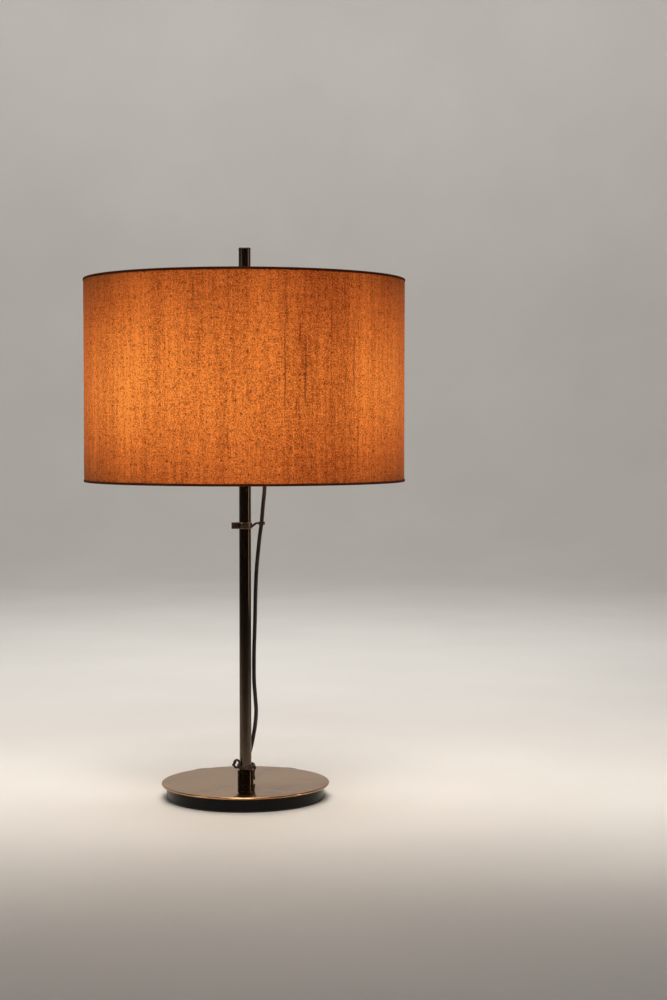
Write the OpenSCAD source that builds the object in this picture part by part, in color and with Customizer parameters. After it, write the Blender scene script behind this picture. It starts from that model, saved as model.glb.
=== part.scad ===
// Table lamp: a fabric drum shade that slides on a chrome pole with a round weighted foot.
// Millimetres, +Z up. The origin is the foot's centre, on the surface the lamp stands on.

/* [Foot] */
// Radius of the chrome foot disc
disc_r = 105.7; // [100:0.1:130]
// Thickness of the chrome foot disc, and twice the radius of its round rim
disc_t = 3; // [2:0.5:4]
// Height of the disc's top face above the table
foot_h = 20; // [18:0.5:30]
// Radius of the black iron weight under the disc
weight_r = 99; // [60:0.5:100]
// Thickness of the felt pad under the weight
felt_t = 1.5; // [1:0.5:3]

/* [Pole] */
// Outer radius of the pole
pole_r = 7.5; // [7:0.1:7.6]
// Wall of the pole
pole_wall = 1.2; // [0.8:0.1:1.4]
// Height of the pole's top above the table, with its cap
pole_top = 690; // [685:5:760]
// Radius of the collar at the pole's foot
collar_r = 10.1; // [8.5:0.1:10.5]
// Height of that collar
collar_h = 14.7; // [10:0.1:16]

/* [Shade] */
// Outer radius of the shade's fabric
shade_r = 200; // [198:1:220]
// Height of the shade's lower edge
shade_bottom = 398.5; // [390:0.5:405]
// Height of the shade
shade_h = 251.5; // [249:0.5:256]
// Thickness of the fabric
fabric_t = 0.6; // [0.4:0.1:1]
// Height of the dark binding along both edges
trim_h = 3.2; // [2:0.1:5]
// Radius of the shade's wire rings
ring_wire_r = 1.6; // [1:0.1:1.8]

/* [Slider] */
// Outer radius of the sleeve that slides on the pole
sleeve_r = 9.5; // [9.2:0.1:9.6]
// Height of the sleeve's lower end
sleeve_bottom = 455; // [445:1:460]
// Height of the shoulder that the shade sits on
shoulder_z = 630; // [628:1:632]
// Height of the thumbscrew that locks the slider
lock_z = 472; // [468:1:480]

/* [Lamp holders] */
// Height of the bulbs' common axis
bulb_z = 511; // [505:1:515]
// Radius of the round junction box
box_r = 32; // [32:0.5:36]
// Distance from the pole's axis to the tip of each bulb
bulb_tip = 159; // [155:1:162]
// Radius of a bulb's globe
globe_r = 30; // [27:0.5:31]

/* [Cord] */
// Diameter of the cord
cord_d = 5; // [4:0.1:5]
// Distance of the cord's exit from the pole's axis
cord_x = 24; // [23:0.5:24]
// Length of a straight run of the folded cord
hank_straight = 100; // [75:1:105]
// Length of the plug's body
plug_l = 32; // [28:1:36]

/* [Hidden] */
$fn = 96;

// Colours
CHROME = "#8e9096";
IRON = "#1b1a19";
FELT = "#232124";
STEEL = "#9a9a98";
BRASS = "#b08d45";
BAKELITE = "#241c18";
FABRIC = "#c8692b";
LINER = "#e2c59a";
BINDING = "#4a2312";
WIRE = "#b9b2a4";
CORD = "#2b1d16";
GLASS = "#fff1d6";

// Clearances
slip = 0.05;          // radial play of parts that run or screw in each other

// Foot
rod_r = 4.9;
rod_hole_r = 5.3;
recess_r = 17;
recess_top = 10.5;
washer_t = 1.5;
nut_t = 4.5;
bush_h = 25;
weight_top = foot_h - disc_t;

// Pole
pole_inner_r = pole_r - pole_wall;
cap_h = 3;
cap_r = pole_r + 0.3;
pole_end = pole_top - cap_h;

// Cord clip: a band round the pole with an eye for the cord
clip_z = 339;
clip_h = 8;
clip_r = 8.9;
ear_x = 17;
ear_w = 7;
clip_screw_x = -13;
clip_screw_r = 1.4;
clip_mid = clip_z + clip_h / 2;
eye_x = 20.9;
eye_r = 4;
eye_bore_r = 2.95;
eye_z = 343.8;
eye_h = 4;

// Slider
thread_r = 8.9;
sleeve_top = shoulder_z + 15;
flange_r = 13;
flange_t = 4;
box_bottom = bulb_z - 13;
box_top = box_bottom + 24.4;
box_wall = 1.6;
box_floor = 2;
lid_t = 2;
lid_top = box_top + lid_t;
lock_r = 2.5;
post_r = 26;          // distance of the lid screws from the axis
post_angles = [-30, 210];

// Lamp holders, as distances from the pole's axis
nipple_r = 5.1;
nipple_in = 26;
nipple_out = 45;
holder_in = 36;
holder_out = 82;
holder_r = 20;
holder_floor = 52;
shell_r = 14;         // outside of the brass screw shell
shell_bore_r = 13.4;
cap_shell_r = 13.05;  // outside of a bulb's screw cap
cap_in = 54.6;
neck_r = 12.5;
neck_in = 74;
glass_t = 0.8;
globe_x = bulb_tip - globe_r;
globe_end = 125;      // angle at which the globe turns into the neck

// Shade
shade_top = shade_bottom + shade_h;
trim_t = 0.4;
fit = 0.05;
liner_t = 0.4;
fabric_in = shade_r - fabric_t;
liner_out = fabric_in - fit;
liner_in = liner_out - liner_t;
trim_in = liner_in - fit - trim_t;
ring_r = trim_in - 0.25 - ring_wire_r;
top_ring_z = shade_top - 3.2;
bottom_ring_z = shade_bottom + 3.2;
hub_ring_r = 15;
hub_ring_t = 2.5;
spokes = 3;
spoke_r = 2;
spoke_in = 13.5;

// Cord
cord_r = cord_d / 2;
grip_tip = 470;       // height at which the cord leaves its strain relief
grip_in = 4.5;        // how far the strain relief reaches into the junction box
hank_raise = 0.4;     // thickness of the tie under the folded cord
hank_y = 124;
hank_end_r = 22.5;
hank_h = 2 * cord_d;
tie_x = 28;
tie_w = 6;
plug_at = [66, 98.5, 6.5];
plug_turn = -44;
plug_w = 22;
plug_h = 12.6;
blade = [17, 1.5, 6.3];
blade_pitch = 12.7;

// The cord's route from its strain relief, through the clip's eye, down behind the pole,
// over the foot and into the folded length that lies behind the foot.
cord_route = [
    [cord_x, 0, grip_tip], [cord_x, 0, 455], [cord_x, 0, 435], [24.6, 0, 412], [24.5, 0, 390],
    [22.3, 0, 366], [20.6, 0, 346], [18.4, 0, 330], [16.1, 0.5, 308], [14.1, 1.5, 284],
    [12.9, 2, 255], [12.2, 2.5, 222], [11, 3, 185], [10.9, 3, 150], [12.4, 3, 127],
    [13.5, 3.2, 109], [12.3, 4.8, 91], [9.6, 8, 74], [6.4, 10.6, 59], [3, 12.2, 46],
    [1, 14.2, 36], [1.5, 19, 28], [2.5, 26, 23.8], [3.5, 36, 22.6], [4, 60, 22.6],
    [4, 84, 22.6], [4, 103, 22.6], [3.9, 114, 19.8], [2, 129, 15.6], [-2.5, 138, 13],
    [-8, 142.3, 11.4], [-16, 144, 10]
];
// From the folded length to the plug
tail_route = [[40, 104, 3], [50, 104, 3.2], [58, 102.6, 4.4], [66, 98.5, 6.5]];

// ---------- helpers ----------

function unit(v) = v / norm(v);

// A point on the smooth curve through the points p, between p[i] and p[i + 1].
function on_curve(p, i, t) =
    let (a = p[max(i - 1, 0)], b = p[i], c = p[i + 1], d = p[min(i + 2, len(p) - 1)])
    (2 * b + (c - a) * t + (2 * a - 5 * b + 4 * c - d) * t ^ 2
        + (3 * b - a - 3 * c + d) * t ^ 3) / 2;

function smooth(p, steps) = concat(
    [for (i = [0 : len(p) - 2]) for (k = [0 : steps - 1]) on_curve(p, i, k / steps)],
    [p[len(p) - 1]]
);

function heading(p, i) = unit(p[min(i + 1, len(p) - 1)] - p[max(i - 1, 0)]);

function square_to(n, t) = unit(n - (n * t) * t);

// One vector across the route at each point, carried along without twist.
function across(p, first) = [
    for (i = 0, n = square_to(first, heading(p, 0)); i < len(p);
        i = i + 1, n = i < len(p) ? square_to(n, heading(p, i)) : n) n
];

module tube(route, r, sides, first = [0, 1, 0.1]) {
    n = len(route);
    u = across(route, first);
    points = [
        for (i = [0 : n - 1]) for (k = [0 : sides - 1])
            let (t = heading(route, i), a = 360 * k / sides)
            route[i] + r * (cos(a) * u[i] + sin(a) * cross(t, u[i]))
    ];
    faces = concat(
        [[for (k = [0 : sides - 1]) k]],
        [for (i = [0 : n - 2]) for (k = [0 : sides - 1])
            let (a = i * sides + k, b = i * sides + (k + 1) % sides)
            [b, a, a + sides, b + sides]],
        [[for (k = [sides - 1 : -1 : 0]) (n - 1) * sides + k]]
    );
    polyhedron(points, faces, convexity = 10);
}

module ring(outer, inner, low, high) {
    translate([0, 0, low]) difference() {
        cylinder(r = outer, h = high - low);
        translate([0, 0, -1]) cylinder(r = inner, h = high - low + 2);
    }
}

// Turns what is drawn along +Z from the origin so that it runs along +X at the bulbs' height.
module along_x() {
    translate([0, 0, bulb_z]) rotate([0, 90, 0]) children();
}

module on_left() {
    mirror([1, 0, 0]) children();
}

// ---------- foot ----------

module felt_pad() {
    color(FELT) cylinder(r = weight_r - 2, h = felt_t);
}

module base_weight() {
    edge = 1;
    color(IRON) rotate_extrude() polygon([
        [recess_r, felt_t], [weight_r - edge, felt_t], [weight_r, felt_t + edge],
        [weight_r, weight_top - edge], [weight_r - edge, weight_top],
        [rod_hole_r, weight_top], [rod_hole_r, recess_top], [recess_r, recess_top]
    ]);
}

module base_cover() {
    color(CHROME) rotate_extrude() {
        translate([rod_hole_r, weight_top]) square([disc_r - disc_t / 2 - rod_hole_r, disc_t]);
        translate([disc_r - disc_t / 2, weight_top + disc_t / 2]) circle(disc_t / 2);
    }
}

module base_washer() {
    color(STEEL) ring(14, rod_hole_r, recess_top - washer_t, recess_top);
}

module base_nut() {
    high = recess_top - washer_t;
    color(STEEL) translate([0, 0, high - nut_t]) difference() {
        cylinder(r = 9.2, h = nut_t, $fn = 6);
        translate([0, 0, -1]) cylinder(r = rod_r + slip, h = nut_t + 2);
    }
}

module tie_rod() {
    color(STEEL) translate([0, 0, 3]) cylinder(r = rod_r, h = foot_h + bush_h - 5);
}

module foot_bush() {
    color(STEEL) ring(pole_inner_r - slip, rod_r + slip, foot_h, foot_h + bush_h);
}

// ---------- pole ----------

module collar() {
    bore = pole_r + slip;
    groove_z = foot_h + 8.6;
    color(CHROME) rotate_extrude() polygon([
        [bore, foot_h], [collar_r, foot_h], [collar_r, groove_z - 0.6],
        [collar_r - 0.6, groove_z], [collar_r, groove_z + 0.6],
        [collar_r, foot_h + collar_h - 1], [collar_r - 1, foot_h + collar_h],
        [bore, foot_h + collar_h]
    ]);
}

module pole() {
    color(CHROME) ring(pole_r, pole_inner_r, foot_h, pole_end);
}

module pole_cap() {
    plug_depth = 12;
    color(CHROME) {
        translate([0, 0, pole_end - plug_depth])
            cylinder(r = pole_inner_r - slip, h = plug_depth);
        rotate_extrude() polygon([
            [0, pole_end], [cap_r, pole_end], [cap_r, pole_end + 2],
            [cap_r - 1, pole_top], [0, pole_top]
        ]);
    }
}

// A wire tie that holds the cord against the pole just above the collar.
module foot_tie() {
    wire_r = 1.2;
    wrap_z = 38.8;
    color(CORD) {
        // round the pole and the cord behind it
        tube([for (k = [0 : 24]) let (a = 15 * k)
            [0.8 + 10.4 * cos(a), 3.6 + 13.4 * sin(a), wrap_z + sin(a)]], wire_r, 8, [0, 0, 1]);
        // the loop of its twisted end, on the left, and the end that sticks out of it
        tube([for (k = [0 : 12]) let (a = -75 + 30 * k)
            [-10.9 + 3.5 * cos(a), -5.4 - 0.12 * k, 43.2 + 4.9 * sin(a)]], wire_r, 8, [0, 1, 0]);
        tube([[-12.6, -7.4, 45.6], [-14, -7.7, 43.9], [-15.6, -7.9, 42.4], [-17, -8, 41.4]],
            wire_r * 0.9, 8, [0, 1, 0.1]);
        // the cut end that hangs on the right
        tube([[9.6, -3.6, 40.2], [12, -4.6, 39.6], [12.2, -5, 37.4], [10.9, -5, 35], [10.4, -5, 31.5],
            [10.5, -5.1, 28], [11.2, -5.4, 25], [10.8, -5.3, 22.2]], wire_r * 0.85, 8, [0, 1, 0.1]);
    }
}

// ---------- cord clip ----------

module clip_band() {
    arm_t = 2.3;
    arm_w = 3;
    arm_z = 344.8;
    edge = 0.7;
    color(STEEL) {
        difference() {
            union() {
                rotate_extrude() polygon([
                    [0, clip_z], [clip_r - edge, clip_z], [clip_r, clip_z + edge],
                    [clip_r, clip_z + clip_h - edge], [clip_r - edge, clip_z + clip_h],
                    [0, clip_z + clip_h]
                ]);
                translate([-ear_x, -ear_w / 2, clip_z]) cube([ear_x - pole_r, ear_w, clip_h]);
            }
            translate([0, 0, clip_z - 1]) cylinder(r = pole_r + 0.03, h = clip_h + 2);
            translate([-ear_x - 1, -0.6, clip_z - 1]) cube([ear_x - 5, 1.2, clip_h + 2]);
            translate([clip_screw_x, -ear_w, clip_mid]) rotate([-90, 0, 0])
                cylinder(r = clip_screw_r + 0.1, h = 2 * ear_w);
        }
        // strap that rises from the band to the eye
        translate([0, arm_w / 2, 0]) rotate([90, 0, 0]) linear_extrude(arm_w) polygon([
            [clip_r - 1, arm_z - 4], [clip_r + 0.6, arm_z - 4], [14.4, arm_z],
            [eye_x - eye_r + 0.6, arm_z], [eye_x - eye_r + 0.6, arm_z + arm_t],
            [13.4, arm_z + arm_t], [clip_r - 1, arm_z - 1.6]
        ]);
        translate([eye_x, 0, 0]) ring(eye_r, eye_bore_r, eye_z, eye_z + eye_h);
    }
}

module clip_screw() {
    head_r = 4;
    head_t = 3.4;
    color(STEEL) translate([clip_screw_x, -ear_w / 2, clip_mid]) rotate([90, 0, 0]) {
        difference() {
            cylinder(r = head_r, h = head_t);
            for (k = [0 : 15]) rotate(22.5 * k) translate([head_r + 0.25, 0, -1])
                cylinder(r = 0.6, h = head_t + 2);
        }
        translate([0, 0, -ear_w - 3]) cylinder(r = clip_screw_r, h = ear_w + 3.5);
    }
}

module clip_nut() {
    color(STEEL) translate([clip_screw_x, ear_w / 2, clip_mid]) rotate([-90, 0, 0]) difference() {
        cylinder(r = 3.2, h = 2.2, $fn = 6);
        translate([0, 0, -1]) cylinder(r = clip_screw_r + slip, h = 5);
    }
}

// ---------- slider ----------

module slider_sleeve() {
    bore = pole_r + slip;
    boss_out = 16;
    color(CHROME) difference() {
        union() {
            rotate_extrude() polygon([
                [bore, sleeve_bottom], [sleeve_r, sleeve_bottom],
                [sleeve_r, box_bottom - flange_t], [flange_r, box_bottom - flange_t],
                [flange_r, box_bottom], [sleeve_r, box_bottom],
                [sleeve_r, shoulder_z], [thread_r, shoulder_z],
                [thread_r, sleeve_top], [bore, sleeve_top]
            ]);
            difference() {
                translate([0, 0, lock_z]) rotate([90, 0, 0]) cylinder(r = 6, h = boss_out);
                translate([0, 0, lock_z - 10]) cylinder(r = bore, h = 20);
            }
        }
        translate([0, 0, lock_z]) rotate([90, 0, 0]) cylinder(r = lock_r + slip, h = boss_out + 1);
    }
}

// Knurled head with a shank; the tip of the shank bears on the pole.
module slider_screw() {
    head_in = 19;
    head_r = 9;
    head_t = 10;
    color(CHROME) translate([0, 0, lock_z]) rotate([90, 0, 0]) {
        translate([0, 0, pole_r + slip]) cylinder(r = lock_r, h = head_in - pole_r);
        translate([0, 0, head_in]) difference() {
            cylinder(r = head_r, h = head_t);
            for (k = [0 : 17]) rotate(20 * k) translate([head_r + 0.5, 0, -1])
                cylinder(r = 1.1, h = head_t + 2);
        }
    }
}

module hub_nut() {
    color(STEEL) translate([0, 0, lid_top]) difference() {
        cylinder(r = 14, h = 4, $fn = 6);
        translate([0, 0, -1]) cylinder(r = sleeve_r + slip, h = 6);
    }
}

// ---------- junction box ----------

module junction_box() {
    color(BAKELITE) difference() {
        union() {
            difference() {
                translate([0, 0, box_bottom]) cylinder(r = box_r, h = box_top - box_bottom);
                ring(box_r - box_wall, sleeve_r + slip + box_wall, box_bottom + box_floor, box_top + 1);
            }
            for (a = post_angles) rotate(a) translate([post_r, 0, box_bottom + 1])
                cylinder(r = 3.2, h = box_top - box_bottom - 1);
        }
        translate([0, 0, box_bottom - 1]) cylinder(r = sleeve_r + slip, h = 40);
        for (a = post_angles) rotate(a) translate([post_r, 0, box_top - 14])
            cylinder(r = 1.5 + slip, h = 20);
        for (s = [0, 180]) rotate(s) translate([20, 0, bulb_z]) rotate([0, 90, 0])
            cylinder(r = nipple_r + slip, h = 20);
        translate([0, -20, bulb_z]) rotate([90, 0, 0]) cylinder(r = 4 + slip, h = 20);
        translate([cord_x, 0, box_bottom - 1]) cylinder(r = 5.1 + slip, h = 5);
    }
}

module junction_lid() {
    color(BAKELITE) difference() {
        ring(box_r, sleeve_r + slip, box_top, lid_top);
        for (a = post_angles) rotate(a) translate([post_r, 0, box_top - 1])
            cylinder(r = 1.8, h = 5);
    }
}

module lid_screws() {
    color(STEEL) for (a = post_angles) rotate(a) translate([post_r, 0, 0]) difference() {
        union() {
            translate([0, 0, lid_top]) cylinder(r = 3, h = 1.8);
            translate([0, 0, lid_top - 12]) cylinder(r = 1.5, h = 12);
        }
        translate([-4, -0.4, lid_top + 1]) cube([8, 0.8, 2]);
    }
}

// Rotary switch inside the box, with its threaded neck and nut on the front.
module switch_body() {
    color(BAKELITE) translate([-7, -28.6, bulb_z - 7]) cube([14, 14, 14]);
    color(STEEL) translate([0, 0, bulb_z]) rotate([90, 0, 0]) difference() {
        union() {
            translate([0, 0, 28.6]) cylinder(r = 4, h = 8);
            translate([0, 0, box_r]) cylinder(r = 6.6, h = 2.4, $fn = 6);
        }
        translate([0, 0, 28.6]) cylinder(r = 3 + slip, h = 9);
    }
}

module switch_knob() {
    knob_in = 37;
    knob_r = 9;
    knob_t = 12;
    color(BAKELITE) translate([0, 0, bulb_z]) rotate([90, 0, 0]) {
        translate([0, 0, 29]) cylinder(r = 3, h = knob_in - 28.9);
        translate([0, 0, knob_in]) difference() {
            cylinder(r = knob_r, h = knob_t);
            for (k = [0 : 11]) rotate(30 * k) translate([knob_r + 0.9, 0, -1])
                cylinder(r = 1.6, h = knob_t + 2);
        }
    }
}

module terminal_block() {
    low = box_bottom + box_floor;
    color(LINER) difference() {
        translate([-12, 14.5, low]) cube([24, 10, 10]);
        for (x = [-7, 0, 7]) translate([x, 19.5, low + 5]) cylinder(r = 1.8, h = 6);
    }
}

// Insulated wires from the terminals to the cord and to both holders.
module lamp_leads() {
    r = 1;
    z = bulb_z;
    color(CORD) {
        for (s = [-1, 1]) for (d = [-1.2, 1.2])
            tube(smooth([[s * 11, 20 + d, z - 5], [s * 16, 18.5 + d, z - 4], [s * 21, 8 + d, z - 1],
                [s * 26, d, z], [s * 36, d, z], [s * holder_floor, d, z]], 2), r, 8, [0, 0.1, 1]);
        for (d = [-1.2, 1.2])
            tube(smooth([[cord_x, d, box_bottom + grip_in + 1], [cord_x - 0.5, 1.5 + d, z - 6.4],
                [21, 6 + d, z - 5.6], [15, 11 + d, z - 5.6], [9 + d, 13.4, z - 5.6],
                [8 + d, 15.5, z - 5.6]], 2), r, 8, [0, 1, 0]);
    }
}

// ---------- lamp holders and bulbs, drawn on the right ----------

module nipple() {
    nut_r = 8;
    nut_thick = 2.2;
    nut_out = sqrt((box_r - box_wall) ^ 2 - nut_r ^ 2); // where its corners meet the round wall
    color(BRASS) along_x() {
        ring(nipple_r, 3.6, nipple_in, nipple_out);
        translate([0, 0, nut_out - nut_thick]) difference() {
            cylinder(r = nut_r, h = nut_thick, $fn = 6);
            translate([0, 0, -1]) cylinder(r = nipple_r - 0.5, h = 5);
        }
    }
}

module holder_nipples() {
    nipple();
    on_left() nipple();
}

module holder() {
    color(BAKELITE) along_x() rotate_extrude() polygon([
        [nipple_r + slip, holder_in], [11, holder_in], [12.5, holder_in + 1.5], [16.5, 45],
        [holder_r - 1, 49], [holder_r, 51], [holder_r, 66], [holder_r - 1, 67],
        [holder_r, 68], [holder_r, holder_out - 2], [holder_r - 1.5, holder_out],
        [shell_r + slip, holder_out], [shell_r + slip, holder_floor],
        [3.6, holder_floor], [3.6, nipple_out + slip], [nipple_r + slip, nipple_out + slip]
    ]);
}

module contacts() {
    color(BRASS) along_x() {
        ring(shell_r, shell_bore_r, 58, holder_out - 2);
        translate([5.5, 0, holder_floor]) cylinder(r = 1.2, h = 2);
        difference() {
            translate([0, 0, holder_floor + 1.2]) cylinder(r = 7, h = 1);
            translate([-3, 0, holder_floor]) cylinder(r = 1.5, h = 4);
        }
    }
}

// The bulb's outline, as [distance from its axis, distance from the pole's axis], drawn in by t.
function globe_edge(t) = [for (a = [0 : 5 : globe_end])
    [(globe_r - t) * sin(a), globe_x + (globe_r - t) * cos(a)]];

function neck_edge(t) =
    let (
        top = [(globe_r - t) * sin(globe_end), globe_x + (globe_r - t) * cos(globe_end)],
        bend = [neck_r + 0.5 - t, top[1] + (top[0] - neck_r - 0.5 + t) * tan(globe_end)],
        low = [neck_r - t, holder_out]
    )
    [for (s = [0.1 : 0.1 : 1]) (1 - s) ^ 2 * top + 2 * s * (1 - s) * bend + s ^ 2 * low];

module bulb_glass() {
    outer = concat(globe_edge(0), neck_edge(0), [[neck_r, neck_in]]);
    inner = concat(globe_edge(glass_t), neck_edge(glass_t), [[neck_r - glass_t, neck_in]]);
    color(GLASS) along_x() rotate_extrude()
        polygon(concat(outer, [for (i = [len(inner) - 1 : -1 : 0]) inner[i]]));
}

module bulb_cap() {
    color(BRASS) along_x() rotate_extrude() polygon([
        [0, cap_in], [4.5, cap_in], [5, cap_in + 1], [9.5, cap_in + 2.5], [cap_shell_r, 60],
        [cap_shell_r, holder_out], [neck_r + slip, holder_out], [neck_r + slip, 61],
        [8, 59.5], [0, 59.5]
    ]);
}

// Glass stem with two support wires and the filament between them.
module filament() {
    stem_in = 74.5;
    stem_out = 104;
    color(GLASS) along_x() {
        translate([0, 0, stem_in]) cylinder(r1 = 9, r2 = 3, h = 10);
        translate([0, 0, stem_in + 9]) cylinder(r = 3, h = stem_out - stem_in - 9);
    }
    color(STEEL) along_x() {
        for (s = [-1, 1]) translate([0, s * 1.8, stem_out - 1]) rotate([-s * 25, 0, 0])
            cylinder(r = 0.35, h = 28);
        translate([0, -13, stem_out + 23.6]) rotate([-90, 0, 0]) cylinder(r = 0.9, h = 26);
    }
}

module right_holder() { holder(); }
module left_holder() { on_left() holder(); }
module right_contacts() { contacts(); }
module left_contacts() { on_left() contacts(); }
module right_bulb_glass() { bulb_glass(); }
module left_bulb_glass() { on_left() bulb_glass(); }
module right_bulb_cap() { bulb_cap(); }
module left_bulb_cap() { on_left() bulb_cap(); }
module right_filament() { filament(); }
module left_filament() { on_left() filament(); }

// ---------- shade ----------

module shade_spider() {
    low = shoulder_z + hub_ring_t / 2;
    run = ring_r - ring_wire_r - 0.03 - spoke_in;
    rise = top_ring_z - low;
    color(WIRE) {
        ring(hub_ring_r, thread_r + 0.1, shoulder_z, shoulder_z + hub_ring_t);
        for (k = [0 : spokes - 1]) rotate(90 + 360 * k / spokes) translate([spoke_in, 0, low])
            rotate([0, 90 - atan2(rise, run), 0])
                cylinder(r = spoke_r, h = norm([run, rise]), $fn = 24);
    }
}

module wire_ring(z) {
    color(WIRE) rotate_extrude() translate([ring_r, z]) circle(ring_wire_r, $fn = 24);
}

module top_ring() { wire_ring(top_ring_z); }
module bottom_ring() { wire_ring(bottom_ring_z); }

module shade_fabric() {
    color(FABRIC) ring(shade_r, fabric_in, shade_bottom + trim_t, shade_top - trim_t);
}

module shade_liner() {
    color(LINER) ring(liner_out, liner_in, shade_bottom + trim_t, shade_top - trim_t);
}

// Binding folded over the upper edge of the fabric and its lining.
module edge_binding() {
    out = shade_r + fit;
    low = shade_top - trim_h;
    rotate_extrude() polygon([
        [trim_in, low], [trim_in + trim_t, low], [trim_in + trim_t, shade_top - trim_t + fit],
        [out, shade_top - trim_t + fit], [out, low], [out + trim_t, low],
        [out + trim_t, shade_top + fit], [trim_in, shade_top + fit]
    ]);
}

module top_trim() {
    color(BINDING) edge_binding();
}

module bottom_trim() {
    color(BINDING) translate([0, 0, shade_bottom + shade_top]) mirror([0, 0, 1]) edge_binding();
}

// Knurled ring that holds the shade down on the slider's shoulder.
module shade_ring() {
    low = shoulder_z + hub_ring_t;
    h = 7;
    r = 12.3;
    color(CHROME) difference() {
        ring(r, thread_r + slip, low, low + h);
        for (k = [0 : 17]) rotate(20 * k) translate([r + 0.5, 0, low - 1])
            cylinder(r = 1, h = h + 2);
    }
}

// ---------- cord ----------

module cord_grip() {
    color(BAKELITE) translate([cord_x, 0, 0]) rotate_extrude() polygon([
        [0, grip_tip], [3.3, grip_tip], [4.1, 477], [4.8, 484], [5.8, box_bottom - 6],
        [7.6, box_bottom - 3.5], [7.6, box_bottom], [5.1, box_bottom],
        [5.1, box_bottom + grip_in], [0, box_bottom + grip_in]
    ]);
}

module cord_run() {
    color(CORD) tube(smooth(cord_route, 2), cord_r, 8);
}

module hank_outline(r) {
    square([hank_straight, 2 * r], center = true);
    for (s = [-1, 1]) translate([s * hank_straight / 2, 0]) circle(r);
}

module cord_hank() {
    color(CORD) translate([0, hank_y, hank_raise]) linear_extrude(hank_h)
        hank_outline(hank_end_r);
}

module cord_tail() {
    color(CORD) tube(smooth(tail_route, 2), cord_r, 8);
}

module hank_tie() {
    w = 2 * hank_end_r;
    color(BAKELITE) translate([tie_x, hank_y, 0]) difference() {
        translate([0, -w / 2 - 0.8, 0]) cube([tie_w, w + 1.6, hank_h + 2 * hank_raise]);
        translate([-1, -w / 2, hank_raise]) cube([tie_w + 2, w, hank_h]);
    }
}

module at_plug() {
    translate(plug_at) rotate(plug_turn) children();
}

module plug_body() {
    neck_l = 11;
    corner = 2.5;
    color(BAKELITE) at_plug() {
        hull() {
            rotate([0, 90, 0]) cylinder(r = 3.6, h = 1, $fn = 32);
            translate([neck_l, 0, 0]) rotate([0, 90, 0]) cylinder(r = 5.4, h = 1, $fn = 32);
        }
        hull() for (y = [-1, 1]) for (z = [-1, 1]) for (x = [neck_l, plug_l - 1.5])
            translate([x, y * (plug_w / 2 - corner), z * (plug_h / 2 - corner)])
                rotate([0, 90, 0]) cylinder(r = corner, h = 1.5, $fn = 32);
    }
}

module plug_blades() {
    color(BRASS) at_plug() for (s = [-1, 1])
        translate([plug_l, s * blade_pitch / 2 - blade[1] / 2, -blade[2] / 2]) difference() {
            cube(blade);
            translate([12, -1, blade[2] / 2]) rotate([-90, 0, 0]) cylinder(r = 1.5, h = 4);
        }
}

// ---------- what is drawn ----------

felt_pad();
base_weight();
base_cover();
base_washer();
base_nut();
tie_rod();
foot_bush();
collar();
pole();
pole_cap();
foot_tie();
clip_band();
clip_screw();
clip_nut();
slider_sleeve();
slider_screw();
hub_nut();
junction_box();
junction_lid();
lid_screws();
switch_body();
switch_knob();
terminal_block();
lamp_leads();
holder_nipples();
right_holder();
left_holder();
right_contacts();
left_contacts();
right_bulb_glass();
left_bulb_glass();
right_bulb_cap();
left_bulb_cap();
right_filament();
left_filament();
shade_spider();
top_ring();
bottom_ring();
shade_fabric();
shade_liner();
top_trim();
bottom_trim();
shade_ring();
cord_grip();
cord_run();
cord_hank();
cord_tail();
hank_tie();
plug_body();
plug_blades();
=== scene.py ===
import math
import bpy
import numpy as np
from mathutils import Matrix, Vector


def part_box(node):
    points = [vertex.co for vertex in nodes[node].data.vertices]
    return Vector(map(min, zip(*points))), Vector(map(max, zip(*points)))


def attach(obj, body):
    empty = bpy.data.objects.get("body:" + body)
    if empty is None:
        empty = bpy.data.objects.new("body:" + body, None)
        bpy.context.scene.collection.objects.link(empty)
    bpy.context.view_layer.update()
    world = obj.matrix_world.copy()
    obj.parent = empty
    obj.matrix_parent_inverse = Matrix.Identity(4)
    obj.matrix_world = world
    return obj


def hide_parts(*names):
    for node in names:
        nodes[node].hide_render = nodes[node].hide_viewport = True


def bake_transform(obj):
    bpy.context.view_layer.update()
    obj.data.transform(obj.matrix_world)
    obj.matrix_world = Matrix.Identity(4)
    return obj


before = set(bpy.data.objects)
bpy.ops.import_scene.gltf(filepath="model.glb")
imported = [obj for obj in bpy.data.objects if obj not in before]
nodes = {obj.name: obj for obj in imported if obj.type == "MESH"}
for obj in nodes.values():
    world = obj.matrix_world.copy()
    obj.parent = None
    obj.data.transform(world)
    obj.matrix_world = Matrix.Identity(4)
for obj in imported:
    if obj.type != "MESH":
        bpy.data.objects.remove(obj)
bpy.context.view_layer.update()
MM = 0.001

# ---------------------------------------------------------------- camera

camera_data = bpy.data.cameras.new("camera")
camera_data.lens = 67.2
camera_data.sensor_width = 36.0
camera = bpy.data.objects.new("camera", camera_data)
camera.location = (0.0, -2.342, 0.4693)
camera.rotation_euler = (math.radians(90 - 2.308), 0.0, math.radians(-2.716))
bpy.context.scene.collection.objects.link(camera)
bpy.context.scene.camera = camera


# ---------------------------------------------------------------- mesh helpers

def smooth_step(t):
    t = np.clip(t, 0.0, 1.0)
    return t * t * (3 - 2 * t)


def mesh_piece(name, points, faces, body=None):
    """A new smooth-shaded mesh object in metres; it rides on body if one is given."""
    mesh = bpy.data.meshes.new(name)
    mesh.from_pydata([tuple(map(float, p)) for p in points], [], faces)
    mesh.polygons.foreach_set("use_smooth", [True] * len(mesh.polygons))
    mesh.update()
    made = bpy.data.objects.new(name, mesh)
    bpy.context.scene.collection.objects.link(made)
    if body:
        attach(made, body)
    return made


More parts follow.
